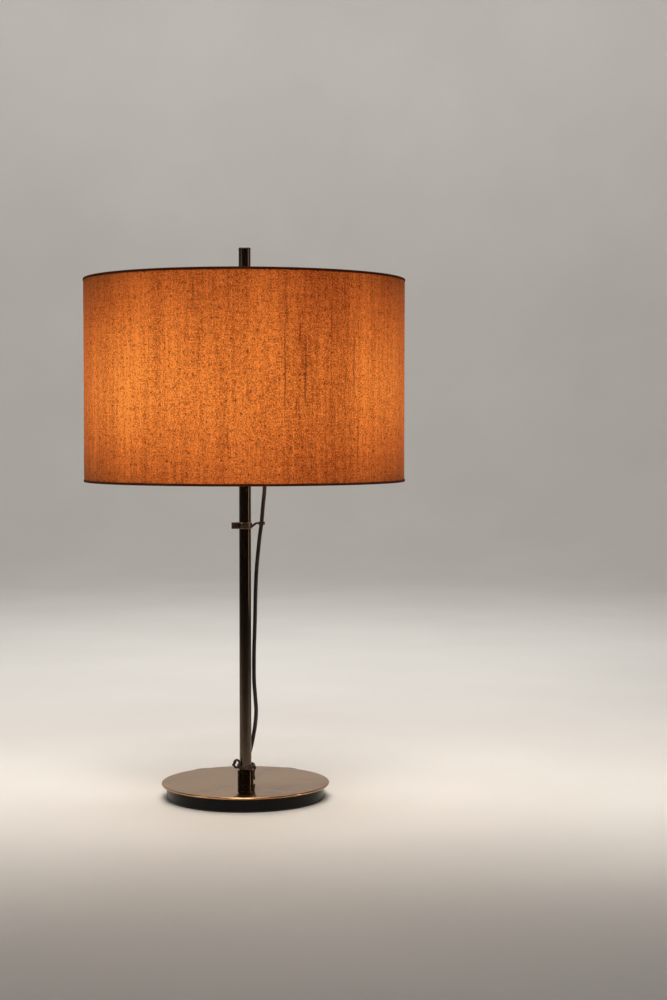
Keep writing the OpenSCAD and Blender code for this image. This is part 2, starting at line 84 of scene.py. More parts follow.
def give_uv(made, name, uv):
    """Stores one (u, v) per vertex as a UV map."""
    layer = made.data.uv_layers.new(name=name)
    corners = np.zeros(len(made.data.loops), np.int32)
    made.data.loops.foreach_get("vertex_index", corners)
    layer.data.foreach_set("uv", np.asarray(uv, np.float32)[corners].ravel())


def give_value(made, name, values):
    attribute = made.data.attributes.new(name, "FLOAT", "POINT")
    attribute.data.foreach_set("value", np.asarray(values, np.float32).ravel())


def smooth_route(points, steps):
    """Points on the smooth curve through the given ones, steps to each stretch."""
    p = np.array(points, float)
    last = len(p) - 1
    made = []
    for i in range(last):
        a, b, c, d = p[max(i - 1, 0)], p[i], p[i + 1], p[min(i + 2, last)]
        for t in np.arange(steps) / steps:
            made.append((2 * b + (c - a) * t + (2 * a - 5 * b + 4 * c - d) * t ** 2
                         + (3 * b - a - 3 * c + d) * t ** 3) / 2)
    return np.array(made + [p[last]])


def distance_along(line):
    """How far along the line each of its points is."""
    return np.concatenate([[0], np.cumsum(np.linalg.norm(np.diff(line, axis=0), axis=1))])


def even_route(points, step):
    """The same line with points an even step apart."""
    p = np.array(points, float)
    along = distance_along(p)
    at = np.linspace(0, along[-1], max(2, round(along[-1] / step) + 1))
    return np.stack([np.interp(at, along, p[:, k]) for k in range(3)], axis=1)


def frames_along(path, first=(0, 1, 0.1)):
    """Two directions across the path at each point, carried along without twist."""
    heading = np.gradient(path, axis=0)
    heading /= np.linalg.norm(heading, axis=1)[:, None]
    across = np.zeros_like(path)
    n = np.array(first, float)
    for i, t in enumerate(heading):
        n = n - (n @ t) * t
        n /= np.linalg.norm(n)
        across[i] = n
    return across, np.cross(heading, across)


def grid_faces(rings, sides, wrap=True):
    """Quads between neighbouring rings of points."""
    made = []
    for i in range(rings - 1):
        for k in range(sides if wrap else sides - 1):
            a, b = i * sides + k, i * sides + (k + 1) % sides
            made.append((a, b, b + sides, a + sides))
    return made


def end_faces(rings, sides):
    """The two faces that close a row of rings."""
    return [tuple(range(sides - 1, -1, -1)), tuple((rings - 1) * sides + k for k in range(sides))]


def tube_points(path, radius, sides, first):
    across, up = frames_along(path, first)
    angle = 2 * math.pi * np.arange(sides) / sides
    out = np.cos(angle)[None, :, None] * across[:, None] + np.sin(angle)[None, :, None] * up[:, None]
    radius = np.broadcast_to(radius, len(path))
    return (path[:, None] + radius[:, None, None] * out).reshape(-1, 3)


def tube(name, path, radius, sides, body=None, first=(0, 1, 0.1)):
    """A round tube along path. radius is one number or one per point."""
    faces = grid_faces(len(path), sides) + end_faces(len(path), sides)
    made = mesh_piece(name, tube_points(path, radius, sides, first), faces, body)
    give_uv(made, "route", [(k / sides, v) for v in distance_along(path) for k in range(sides)])
    return made


def join(name, parts, body):
    """Several meshes as one piece."""
    points, faces = [], []
    for part in parts:
        offset = len(points)
        points += [tuple(v.co) for v in part.data.vertices]
        faces += [tuple(offset + k for k in f.vertices) for f in part.data.polygons]
        old = part.data
        bpy.data.objects.remove(part)
        bpy.data.meshes.remove(old)
    return mesh_piece(name, points, faces, body)


def lathe(name, profile, sides, centre, body):
    """profile, as (radius, height) points from the axis to the axis, turned round a vertical axis."""
    angle = 2 * math.pi * np.arange(sides) / sides
    points = [(centre[0] + r * math.cos(a), centre[1] + r * math.sin(a), z)
              for r, z in profile for a in angle]
    faces = grid_faces(len(profile), sides)
    return mesh_piece(name, points, faces, body)


def lattice_noise(rng, u, v, du, dv):
    """Smooth random values from -1 to 1 over u and v, with a grain of du by dv."""
    a, b = u / du, v / dv
    i, j = np.floor(a).astype(int), np.floor(b).astype(int)
    s, t = smooth_step(a - i), smooth_step(b - j)
    i, j = i - i.min(), j - j.min()
    grid = rng.uniform(-1, 1, (i.max() + 2, j.max() + 2))
    return (grid[i, j] * (1 - s) * (1 - t) + grid[i + 1, j] * s * (1 - t)
            + grid[i, j + 1] * (1 - s) * t + grid[i + 1, j + 1] * s * t)


# ---------------------------------------------------------------- cord

CORD_D = 5 * MM

# The route of the part that isn't folded, as in the CAD source, in millimetres.
CORD_ROUTE = [
    (24, 0, 470), (24, 0, 455), (24, 0, 435), (24.6, 0, 412), (24.5, 0, 390),
    (22.3, 0, 366), (20.6, 0, 346), (18.4, 0, 330), (16.1, 0.5, 308), (14.1, 1.5, 284),
    (12.9, 2, 255), (12.2, 2.5, 222), (11, 3, 185), (10.9, 3, 150), (12.4, 3, 127),
    (13.5, 3.2, 109), (12.3, 4.8, 91), (9.6, 8, 74), (6.4, 10.6, 59), (3, 12.2, 46),
    (1, 14.2, 36), (1.5, 19, 28), (2.5, 26, 23.8), (3.5, 36, 22.6), (4, 60, 22.6),
    (4, 84, 22.6), (4, 103, 22.6), (3.9, 114, 19.8), (2, 129, 15.6), (-2.5, 138, 13),
    (-8, 142.3, 11.4), (-16, 144, 10),
]
TAIL_ROUTE = [(40, 104, 3), (50, 104, 3.2), (58, 102.6, 4.4), (66, 98.5, 6.5)]
HANK_Y = 124
HANK_HALF = 50           # half of a straight run
HANK_TURNS = 4
HANK_END_X = 32          # where the last turn leaves the front run and the tail starts
SWAP_LIFT = 0.7          # rise of the whole bundle where its strands change places
HANK_MID = (17.5, 5.4)   # middle of the bundle's section: distance from the hank's long axis, height


def in_bundle(turn):
    """Where the cord lies in the bundle's section on a given turn, as (distance, height)."""
    angle = math.radians(45 + 90 * turn)
    reach = CORD_D / MM / math.sqrt(2)
    return HANK_MID[0] + reach * math.cos(angle), HANK_MID[1] + reach * math.sin(angle)


def hank_route():
    """The folded cord, wound from the rear run's middle, each turn beside or under the one before."""
    first_x, settle = CORD_ROUTE[-1][0], CORD_ROUTE[-1][2]
    points = []
    for turn in range(HANK_TURNS):
        r, z = in_bundle(turn)
        # the rear run's left half; the first turn starts on it and settles
        start = first_x if turn == 0 else 0
        for x in np.linspace(start, -HANK_HALF, 9)[1 if turn == 0 else 0:-1]:
            lift = (settle - z) * (1 - smooth_step((start - x) / (HANK_HALF + start))) if turn == 0 else 0
            points.append((x, HANK_Y + r, z + lift))
        for a in np.radians(np.linspace(90, 270, 19)):
            points.append((-HANK_HALF + r * math.cos(a), HANK_Y + r * math.sin(a), z))
        if turn == HANK_TURNS - 1:
            points += [(x, HANK_Y - r, z) for x in np.linspace(-HANK_HALF, HANK_END_X, 9)[1:]]
            break
        points += [(x, HANK_Y - r, z) for x in np.linspace(-HANK_HALF, HANK_HALF, 9)[1:-1]]
        for a in np.radians(np.linspace(-90, 90, 19)):
            points.append((HANK_HALF + r * math.cos(a), HANK_Y + r * math.sin(a), z))
        # the rear run's right half, where the cord moves to its next place in the bundle
        for x in np.linspace(HANK_HALF, 0, 13)[1:-1]:
            share = float(smooth_step((HANK_HALF - x) / HANK_HALF))
            side, height = in_bundle(turn + share)
            points.append((x, HANK_Y + side, height + SWAP_LIFT * math.sin(math.pi * share)))
    return points


def make_cord():
    route = smooth_route(CORD_ROUTE, 6)
    hank = smooth_route(hank_route(), 3)
    tail = smooth_route(TAIL_ROUTE, 6)
    path = even_route(np.concatenate([route, hank, tail]), 2.2) * MM
    made = tube("cord", path, CORD_D / 2, 16)
    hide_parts("cord_run", "cord_hank", "cord_tail")
    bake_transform(made)
    return made, path


cord, cord_path = make_cord()


# ---------------------------------------------------------------- pieces on the cord

PLUG_AT = TAIL_ROUTE[-1]
PLUG_TURN = math.radians(-44)
PLUG_SIZE = (32, 22, 12.6)   # along the cord, across it and upwards


def superellipse(half_y, half_z, power, sides):
    angle = 2 * math.pi * (np.arange(sides) + 0.5) / sides
    c, s = np.cos(angle), np.sin(angle)
    return np.stack([half_y * np.sign(c) * np.abs(c) ** (2 / power),
                     half_z * np.sign(s) * np.abs(s) ** (2 / power)], axis=1)


def make_plug():
    """A moulded plug: ribbed neck, waisted grip with ribs on its sides, a flat face with a low rim."""
    sides = 48
    length, half_w, half_h = PLUG_SIZE[0], PLUG_SIZE[1] / 2, PLUG_SIZE[2] / 2
    stations = [(0, 3.0, 3.0, 2)]
    for k in range(4):
        x = 0.4 + 2.3 * k
        r = 3.6 + 0.35 * k
        stations += [(x, r, r, 2), (x + 1.3, r + 0.05, r + 0.05, 2),
                     (x + 1.5, r - 0.6, r - 0.6, 2), (x + 2.1, r - 0.6, r - 0.6, 2)]
    for t in np.linspace(0, 1, 9):
        rise = float(smooth_step(t))
        stations.append((10 + 4.5 * t, 4.8 + (half_w - 4.8) * rise, 4.8 + (half_h - 4.8) * rise,
                         2 + 2.2 * t))
    for k in range(6):
        x = 15.4 + 1.9 * k
        stations += [(x, half_w, half_h, 4.2), (x + 0.25, half_w - 0.55, half_h - 0.12, 4.2),
                     (x + 0.95, half_w - 0.55, half_h - 0.12, 4.2), (x + 1.2, half_w, half_h, 4.2)]
    rim = [(2.6, 0), (0.7, 0), (0.2, 0.25), (0, 0.7), (0, 1.6), (0.5, 1.9)]
    stations += [(length - back, half_w - inset, half_h - inset, 4.6) for back, inset in rim]
    points = []
    for x, half_y, half_z, power in stations:
        for y, z in superellipse(half_y, half_z, power, sides):
            points.append((PLUG_AT[0] + x * math.cos(PLUG_TURN) - y * math.sin(PLUG_TURN),
                           PLUG_AT[1] + x * math.sin(PLUG_TURN) + y * math.cos(PLUG_TURN),
                           PLUG_AT[2] + z))
    faces = grid_faces(len(stations), sides) + end_faces(len(stations), sides)
    made = mesh_piece("plug", np.array(points) * MM, faces, "foot")
    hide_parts("plug_body")
    return made


def make_strain_relief():
    """The tapered rubber sleeve under the junction box, with ribs that let it bend."""
    low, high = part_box("cord_grip")
    centre = ((low.x + high.x) / 2, (low.y + high.y) / 2)
    tip = low.z
    profile = [(2.6, 0), (3.0, 0), (3.3, 0.3)]
    for k in range(6):
        z = 1.6 + 3.0 * k
        r = 3.4 + 0.32 * k
        profile += [(r, z), (r - 0.55, z + 0.35), (r - 0.5, z + 1.15), (r + 0.15, z + 1.5)]
    profile += [(5.6, 20.4), (5.8, 22), (7.3, 24.3), (7.6, 24.9), (7.6, 27.6), (7.2, 28), (5.1, 28),
                (5.1, 35), (0.01, 35)]
    made = lathe("strain_relief", [(r * MM, tip + z * MM) for r, z in profile], 40, centre, "carriage")
    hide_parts("cord_grip")
    return made


END_TWISTS = 3.5         # turns of the tie's two ends round each other


def make_hank_tie():
    """A flat coated tie round the folded cord, its two ends twisted together on top."""
    low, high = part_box("hank_tie")
    wide, thick, corner = high.x - low.x - 1.5 * MM, 0.7 * MM, 2.6 * MM
    y0, y1, z0, z1 = low.y + 0.4 * MM, high.y - 0.4 * MM, low.z + 0.2 * MM, high.z - 0.4 * MM
    path = []
    for cy, cz, start in ((y1 - corner, z1 - corner, 0), (y0 + corner, z1 - corner, 90),
                          (y0 + corner, z0 + corner, 180), (y1 - corner, z0 + corner, 270)):
        for a in np.radians(np.linspace(start, start + 90, 7)):
            path.append((cy + corner * math.cos(a), cz + corner * math.sin(a)))
    path = np.array(path)
    n = len(path)
    out = np.roll(path, -1, axis=0) - np.roll(path, 1, axis=0)
    out = np.stack([out[:, 1], -out[:, 0]], axis=1)
    out /= np.linalg.norm(out, axis=1)[:, None]
    middle = (low.x + high.x) / 2
    edge, inset, rib = wide / 2, wide / 2 - 0.5 * MM, wide / 10
    section = [(-edge, 0.2), (-inset, 0.5), (-rib, 0.35), (0, 0.75), (rib, 0.35),
               (inset, 0.5), (edge, 0.2), (inset, -0.5), (-inset, -0.5)]
    sides = len(section)
    points = []
    for i in range(n):
        for x, t in section:
            y, z = path[i] + out[i] * t * thick
            points.append((middle + x, y, max(z, 0.1 * MM)))
    faces = grid_faces(n, sides)
    faces += [((n - 1) * sides + k, (n - 1) * sides + (k + 1) % sides, (k + 1) % sides, k)
              for k in range(sides)]
    band = mesh_piece("band", points, faces)
    ends = []
    y_mid = (low.y + high.y) / 2
    for phase in (0, math.pi):
        t = np.linspace(0, 1, 60)
        turn = phase + 2 * math.pi * END_TWISTS * t
        reach = 0.75 * MM * (1 - 0.1 * t)
        line = np.stack([middle + 7.2 * MM * t, y_mid + reach * np.cos(turn) - 5 * MM * t,
                         z1 + 1.1 * MM + reach * np.sin(turn) + 2.5 * MM * smooth_step(t)], axis=1)
        ends.append(tube("end", line, 0.65 * MM, 10))
    made = join("hank_wire_tie", [band] + ends, "foot")
    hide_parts("hank_tie")
    return made


def rounded(path, radius, ease=1.2):
    """One radius per point, drawn in over the last ease radii at both ends."""
    along = distance_along(path)
    from_end = np.minimum(along, along[-1] - along)
    t = np.clip(from_end / (ease * radius), 0, 1)
    return radius * np.sqrt(np.clip(1 - (1 - t) ** 2, 0.02, 1))


def make_foot_tie():
    """Coated wire round the pole's foot and the cord: a loop with a loose end on the left, a cut end
    that hangs down on the right."""
    wire = 1.4
    rounds = [[(0.8 + 10.4 * math.cos(a), 3.6 + 13.4 * math.sin(a), 38.8 + lift + math.sin(a))
               for a in np.radians(np.arange(start, start + 361, 15))]
              for lift, start in ((-0.9, 200), (1.1, 185))]
    loop = [(-10.9 + 3.5 * math.cos(a), -5.4 - 0.12 * k, 43.2 + 4.9 * math.sin(a))
            for k, a in enumerate(np.radians(-75 + 30 * np.arange(13)))]
    lines = [
        (rounds[0], wire * 0.85),
        (rounds[1], wire * 0.85),
        ([(-8.2, -4.6, 39.6), (-9.2, -5.2, 39)] + loop, wire),
        ([(-11.4, -7.1, 47), (-12.6, -7.4, 45.6), (-14, -7.7, 43.9), (-15.6, -7.9, 42.4), (-17, -8, 41.4)],
         wire * 0.95),
        ([(9.6, -3.6, 40.2), (12, -4.6, 39.6), (12.2, -5, 37.4), (10.9, -5, 35), (10.4, -5, 31.5),
          (10.5, -5.1, 28), (11.2, -5.4, 25), (10.8, -5.3, 22.2)], wire * 0.8),
    ]
    parts = []
    for points, radius in lines:
        path = even_route(smooth_route(points, 6), 0.8) * MM
        parts.append(tube("line", path, rounded(path, radius * MM), 14, first=(0.1, 1, 0.2)))
    made = join("foot_wire_tie", parts, "foot")
    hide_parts("foot_tie")
    return made


plug = make_plug()
relief = make_strain_relief()
hank_tie = make_hank_tie()
foot_tie = make_foot_tie()


# ---------------------------------------------------------------- shade

FABRIC_LOW, FABRIC_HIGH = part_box("shade_fabric")
SHADE_R = FABRIC_HIGH.x
LAP = 12 * MM            # overlap of the cloth's ends, at the back
CLOTH_LENGTH = 2 * math.pi * SHADE_R + LAP
FRONT = math.pi * SHADE_R    # arc length from the seam to the front

# Thick dark slubs on the front, which stand out: arc length right of the front's middle,
# lower end, upper end and width, in millimetres.
MARKED_SLUBS = [
    (71.5, 489, 579, 1.1), (65, 560, 588, 0.9), (46.5, 469, 590, 0.8), (49, 585, 612, 0.7),
    (139, 498, 598, 0.6), (145, 420, 486, 0.6), (106, 565, 600, 0.6), (60, 478, 500, 0.7),
    (-60, 600, 640, 0.7), (-50, 575, 596, 0.6), (126, 510, 545, 0.5), (-20, 440, 470, 0.5),
]
FINE_SLUBS = 900

# Painted glow of the cloth, standing in for the bulbs' light coming through it: an even level, then hot spots
# where the bulbs light it most, as degrees round from the front, width in degrees, gain.
GLOW_LEVEL = 0.78
GLOW_SPOTS = [(-48, 25, 0.25), (64, 14, 0.24), (130, 25, 0.25), (-118, 16, 0.24)]

# Runs of thicker or thinner yarn: arc length right of the front's middle, half width, both in
# millimetres, and how much more cloth there is.
RUNS = [(92, 48, 0.8), (-152, 34, -0.16), (28, 14, -0.16), (175, 22, -0.12), (-92, 26, 0.12)]


def run_field(u):
    """The bands that runs of thicker or thinner yarn make across the cloth."""
    field = np.zeros_like(u)
    for at, half, more in RUNS:
        field += more * smooth_step((half * MM - np.abs(u - FRONT - at * MM)) / (9 * MM) + 0.5)
    return field


def lap_rise(u):
    """How far the cloth stands off its round shape where one end lies over the other."""
    return 0.55 * MM * smooth_step((u - (CLOTH_LENGTH - LAP - 5 * MM)) / (5 * MM))


def slub_field(rng, u, z):
    """Thickness of the single thick threads, from 0 to 1."""
    field = np.zeros_like(u)
    slubs = [(FRONT + a * MM, lo * MM, hi * MM, w * MM, 1.0) for a, lo, hi, w in MARKED_SLUBS]
    for _ in range(FINE_SLUBS):
        length = rng.uniform(4, 34) * MM
        low = rng.uniform(FABRIC_LOW.z, FABRIC_HIGH.z)
        slubs.append((rng.uniform(0, CLOTH_LENGTH), low, low + length, rng.uniform(0.5, 1.0) * MM,
                      rng.uniform(0.05, 0.42)))
    for at, low, high, width, strength in slubs:
        columns = np.abs(u[:, 0] - at) < 4 * width
        middle, half = (low + high) / 2, (high - low) / 2
        wander = 0.5 * width * np.sin(z[columns] * 90 + at * 700)
        across = (u[columns] - at + wander) / width
        along = np.clip(1 - ((z[columns] - middle) / half) ** 2, 0, 1)
        field[columns] = np.maximum(field[columns], strength * np.exp(-across ** 2) * along ** 0.5)
    return field


def glow_field(u, z):
    """How strongly the cloth is painted to glow, in place of the bulbs' light coming through it: bright
    beside each bulb, dimmer towards both edges.
    """
    low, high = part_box("right_bulb_glass")
    angle = (u - FRONT) / SHADE_R
    height = z - (low.z + high.z) / 2
    field = np.full_like(u, GLOW_LEVEL)
    for centre, width, gain in GLOW_SPOTS:
        away = np.angle(np.exp(1j * (angle - math.radians(centre))))
        field = field + gain * np.exp(-(away / math.radians(width)) ** 2 - (height / 0.1) ** 2)
    side = np.sin(angle) ** 2      # 0 before the front and the back, 1 at the sides
    # painted shade: the glow dims towards the sides
    field = field * (1 - 0.38 * side ** 3)
    # painted shade: the glow dims towards the top and bottom edges
    rise = np.clip(height / 0.125, 0, None)
    fall = np.clip(-height / 0.093, 0, None)
    return field * (1 - (0.42 + 0.34 * side) * rise ** 2) * (1 - (0.32 + 0.36 * side) * fall ** 2)


def make_shade_cloth():
    rng = np.random.default_rng(11)
    columns, rows = 1300, 72
    u, z = np.meshgrid(np.linspace(0, CLOTH_LENGTH, columns + 1),
                       np.linspace(FABRIC_LOW.z, FABRIC_HIGH.z, rows + 1), indexing="ij")
    yarn = (0.5 * lattice_noise(rng, u, z, 1.7 * MM, 70 * MM)
            + 0.3 * lattice_noise(rng, u, z, 3.4 * MM, 30 * MM)
            + 0.35 * lattice_noise(rng, u, z, 9 * MM, 160 * MM)
            + 0.25 * lattice_noise(rng, u, z, 30 * MM, 4 * MM)
            + run_field(u))
    slub = slub_field(rng, u, z)
    waves = lattice_noise(rng, u, z, 110 * MM, 130 * MM)
    edge = smooth_step(np.minimum(z - FABRIC_LOW.z, FABRIC_HIGH.z - z) / (8 * MM))
    relief_height = (0.13 * yarn + 0.34 * slub + 0.35 * waves) * MM
    radius = SHADE_R - 0.35 * MM + relief_height * edge + lap_rise(u)
    # the outer end is folded under
    radius -= 0.5 * MM * smooth_step((u - (CLOTH_LENGTH - 1.2 * MM)) / (1.2 * MM))
    angle = math.pi / 2 + u / SHADE_R
    points = np.stack([radius * np.cos(angle), radius * np.sin(angle), z], axis=-1).reshape(-1, 3)
    made = mesh_piece("shade_cloth", points, grid_faces(columns + 1, rows + 1, wrap=False), "shade")
    give_uv(made, "cloth", np.stack([u, z], axis=-1).reshape(-1, 2))
    give_value(made, "yarn", yarn)
    give_value(made, "slub", slub)
    give_value(made, "glow", glow_field(u, z))
    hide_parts("shade_fabric")
    return made


def make_shade_lining():
    """The pale lining behind the cloth, one sheet with its own lap at the back."""
    rng = np.random.default_rng(12)
    low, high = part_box("shade_liner")
    columns, rows = 420, 24
    radius = high.x - 0.25 * MM
    lap = 10 * MM
    length = 2 * math.pi * radius + lap
    u, z = np.meshgrid(np.linspace(0, length, columns + 1),
                       np.linspace(low.z, high.z, rows + 1), indexing="ij")
    edge = smooth_step(np.minimum(z - low.z, high.z - z) / (8 * MM))
    waves = 0.25 * MM * lattice_noise(rng, u, z, 120 * MM, 90 * MM) * edge
    tuck = 0.35 * MM * smooth_step((u - (length - lap - 4 * MM)) / (4 * MM))
    radius = radius - 0.1 * MM - tuck + waves * 0.4
    angle = math.pi / 2 - 0.09 + u / high.x
    points = np.stack([radius * np.cos(angle), radius * np.sin(angle), z], axis=-1).reshape(-1, 3)
    made = mesh_piece("shade_lining", points, grid_faces(columns + 1, rows + 1, wrap=False), "shade")
    give_uv(made, "cloth", np.stack([u, z], axis=-1).reshape(-1, 2))
    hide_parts("shade_liner")
    return made


def make_binding(name, node, upper):
    """Bias binding folded over an edge of the shade and glued down on both sides."""
    rng = np.random.default_rng(21 if upper else 22)
    low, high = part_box(node)
    edge, sign = (high.z, 1) if upper else (low.z, -1)
    leg = high.z - low.z - 0.35 * MM
    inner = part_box("shade_liner")[1].x - 0.85 * MM
    outer = SHADE_R + 0.22 * MM
    thick = 0.36 * MM
    middle, half = (inner + outer) / 2, (outer - inner) / 2
    bend = 0.75 * MM
    # the fold's middle line, from the outer leg's end over the edge to the inner leg's end
    line = [(outer, -leg), (outer, -leg * 0.6), (outer, -bend - 0.1 * MM)]
    line += [(middle + half * math.cos(a), -bend + (bend - thick / 2) * math.sin(a))
             for a in np.radians(np.linspace(8, 172, 9))]
    line += [(inner, -bend - 0.1 * MM), (inner, -leg * 0.6), (inner, -leg)]
    line = np.array(line)
    across = np.gradient(line, axis=0)
    across = np.stack([across[:, 1], -across[:, 0]], axis=1)
    across /= np.linalg.norm(across, axis=1)[:, None]
    section = np.concatenate([line - across * thick / 2, (line + across * thick / 2)[::-1]])
    reach = distance_along(line)
    reach = np.concatenate([reach, reach[::-1]])
    steps, sides = 900, len(section)
    u = np.linspace(0, 2 * math.pi * SHADE_R, steps, endpoint=False)
    zero = np.zeros_like(u)
    wave = (0.14 * MM * lattice_noise(rng, u, zero, 14 * MM, 1)
            + 0.1 * MM * lattice_noise(rng, u, zero, 60 * MM, 1))
    swell = 0.07 * MM * lattice_noise(rng, u, zero, 5 * MM, 1)
    seam = np.abs(u - 2 * math.pi * SHADE_R * 0.985)
    rise = 0.55 * MM * np.maximum(smooth_step(1 - seam / (9 * MM)),
                                  smooth_step(1 - np.minimum(u, 2 * math.pi * SHADE_R - u) / (14 * MM)))
    points, uv = [], []
    for i in range(steps):
        angle = math.pi / 2 + u[i] / SHADE_R
        for (r, h), d in zip(section, reach):
            outside = 1 if r > middle else -0.4
            depth = smooth_step((-h - bend) / (leg - bend))
            r = r + (swell[i] + rise[i]) * outside * min(1, abs(r - middle) / half)
            z = edge + sign * (h + wave[i] * depth)
            points.append((r * math.cos(angle), r * math.sin(angle), z))
            uv.append((u[i], d))
    faces = [(i * sides + k, i * sides + (k + 1) % sides, (i + 1) % steps * sides + (k + 1) % sides,
              (i + 1) % steps * sides + k) for i in range(steps) for k in range(sides)]
    if not upper:
        faces = [f[::-1] for f in faces]
    made = mesh_piece(name, points, faces, "shade")
    give_uv(made, "cloth", uv)
    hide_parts(node)
    return made


def make_weld_beads():
    """The beads of weld that hold the spokes' outer ends to the upper ring."""
    low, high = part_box("top_ring")
    middle = (low.z + high.z) / 2
    reach = high.x - (high.z - low.z) - 0.4 * MM
    parts = []
    for k, turn in enumerate(np.radians((90, 210, 330))):
        wide, tall = (2.6 + 0.15 * k) * MM, (2.4 - 0.1 * k) * MM
        profile = [(wide * math.cos(t), middle + tall * math.sin(t))
                   for t in np.radians(np.linspace(-89, 89, 11))]
        parts.append(lathe("bead", profile, 20, (reach * math.cos(turn), reach * math.sin(turn)), None))
    made = join("weld_beads", parts, "shade")
    return made


cloth = make_shade_cloth()
lining = make_shade_lining()
weld_beads = make_weld_beads()
top_binding = make_binding("top_binding", "top_trim", True)
bottom_binding = make_binding("bottom_binding", "bottom_trim", False)


# ---------------------------------------------------------------- materials

class Look:
    """A Principled material and the nodes that feed it."""

    def __init__(self, name, **values):
        self.material = bpy.data.materials.new(name)
        self.material.use_nodes = True
        self.tree = self.material.node_tree
        self.shader = self.tree.nodes["Principled BSDF"]
        self.set(self.shader, values)
        self.places = {}

    def set(self, node, values):
        """Sets or links inputs; an underscore stands for a space in a socket's name."""
        for key, value in values.items():
            socket = node.inputs[int(key[1:]) if key[0] == "_" else key.replace("_", " ")]
            if isinstance(value, bpy.types.NodeSocket):
                self.tree.links.new(value, socket)
            elif isinstance(value, tuple) and len(value) == 3 and len(socket.default_value) == 4:
                socket.default_value = (*value, 1.0)
            else:
                socket.default_value = value

    def node(self, kind, out=0, settings=(), **inputs):
        made = self.tree.nodes.new("ShaderNode" + kind)
        for key, value in dict(settings).items():
            setattr(made, key, value)
        self.set(made, inputs)
        return made.outputs[out]

    def place(self, scale=(1, 1, 1), uv=None):
        """Object coordinates in metres, or those of a UV map, stretched by scale."""
        key = (scale, uv)
        if key not in self.places:
            if uv:
                source = self.node("UVMap", settings={"uv_map": uv})
            else:
                source = self.node("TexCoord", out="Object")
            self.places[key] = self.node("Mapping", Vector=source, Scale=scale)
        return self.places[key]

    def noise(self, scale, detail=3.0, rough=0.55, stretch=(1, 1, 1), uv=None, distort=0.0):
        return self.node("TexNoise", Vector=self.place(stretch, uv), Scale=scale, Detail=detail,
                         Roughness=rough, Distortion=distort)

    def spread(self, value, low, high, to_low=0.0, to_high=1.0):
        return self.node("MapRange", _0=value, _1=low, _2=high, _3=to_low, _4=to_high)

    def math(self, operation, a, b=0.0):
        return self.node("Math", settings={"operation": operation}, _0=a, _1=b)

    def blend(self, share, a, b, kind="MIX"):
        return self.node("Mix", out=2, settings={"data_type": "RGBA", "blend_type": kind},
                         _0=share, _6=a, _7=b)

    def value(self, name):
        return self.node("Attribute", out="Fac", settings={"attribute_name": name})

    def bump(self, height, strength, distance):
        return self.node("Bump", Strength=strength, Distance=distance, Height=height)

    def feed(self, **values):
        self.set(self.shader, values)
        return self.material


def rgb(r, g, b):
    """An sRGB colour from 0 to 255 as linear light."""
    return tuple((c / 255 / 12.92) if c <= 10 else ((c / 255 + 0.055) / 1.055) ** 2.4 for c in (r, g, b))


def chrome_look(name, bright, stain, grain, rough=0.055):
    """Old chrome: clear reflections, wiped smudges, hair scratches along grain, a few dull pits."""
    look = Look(name, Metallic=1.0)
    smudge = look.spread(look.noise(26, 4, 0.6), 0.42, 0.68)
    haze = look.spread(look.noise(7, 3, 0.5), 0.40, 0.70)
    scratch = look.spread(look.noise(1500, 2, 0.6, grain), 0.60, 0.78)
    pit = look.spread(look.noise(420, 1, 0.4), 0.71, 0.76)
    tone = look.blend(look.math("MULTIPLY", smudge, haze), bright, stain)
    tone = look.blend(look.math("MULTIPLY", pit, 0.75), tone, rgb(58, 40, 28))
    dull = look.math("ADD", look.spread(smudge, 0, 1, rough, rough + 0.10),
                     look.math("MULTIPLY", scratch, 0.05))
    dull = look.math("ADD", dull, look.math("MULTIPLY", pit, 0.4))
    relief = look.math("SUBTRACT", look.math("MULTIPLY", scratch, -0.25), pit)
    return look.feed(Base_Color=tone, Roughness=dull, Normal=look.bump(relief, 0.12, 0.05 * MM))


def enamel_look():
    """Black stove enamel on cast iron: orange peel, dust, brown chips in small spots."""
    look = Look("black_enamel", Coat_Weight=0.06, Coat_Roughness=0.15, Specular_IOR_Level=0.12)
    peel = look.noise(900, 2, 0.5)
    dust = look.spread(look.noise(60, 5, 0.65), 0.5, 0.75)
    chip = look.spread(look.noise(240, 3, 0.6), 0.70, 0.73)
    tone = look.blend(dust, rgb(7, 5, 5), rgb(17, 14, 13))
    tone = look.blend(chip, tone, rgb(44, 30, 22))
    dull = look.spread(look.math("ADD", dust, chip), 0, 2, 0.28, 0.62)
    height = look.math("SUBTRACT", peel, look.math("MULTIPLY", chip, 1.5))
    return look.feed(Base_Color=tone, Roughness=dull, Normal=look.bump(height, 0.35, 0.12 * MM))


def felt_look():
    look = Look("felt", Sheen_Weight=0.6, Sheen_Roughness=0.6)
    fibre = look.noise(1400, 4, 0.7, distort=1.5)
    clump = look.noise(130, 3, 0.6)
    tone = look.blend(look.spread(fibre, 0.3, 0.7), rgb(22, 21, 24), rgb(62, 58, 60))
    tone = look.blend(look.spread(clump, 0.4, 0.7, 0, 0.4), tone, rgb(34, 31, 32))
    return look.feed(Base_Color=tone, Roughness=look.spread(fibre, 0, 1, 0.88, 1.0),
                     Normal=look.bump(look.math("ADD", fibre, clump), 0.8, 0.35 * MM))


def metal_look(name, bright, dark, tarnish, rough, scale=90):
    """Bare or plated metal: machining grain, tarnish in soft clouds, dark spots."""
    look = Look(name, Metallic=1.0)
    cloud = look.spread(look.noise(scale, 5, 0.65), 0.38, 0.72)
    grain = look.noise(2600, 2, 0.5, (1, 1, 0.12))
    spot = look.spread(look.noise(scale * 7, 2, 0.5), 0.66, 0.74)
    tone = look.blend(cloud, bright, dark)
    tone = look.blend(look.math("MULTIPLY", spot, 0.8), tone, tarnish)
    dull = look.math("ADD", look.spread(cloud, 0, 1, rough, rough + 0.22), look.math("MULTIPLY", spot, 0.25))
    return look.feed(Base_Color=tone, Roughness=dull, Normal=look.bump(grain, 0.25, 0.03 * MM))


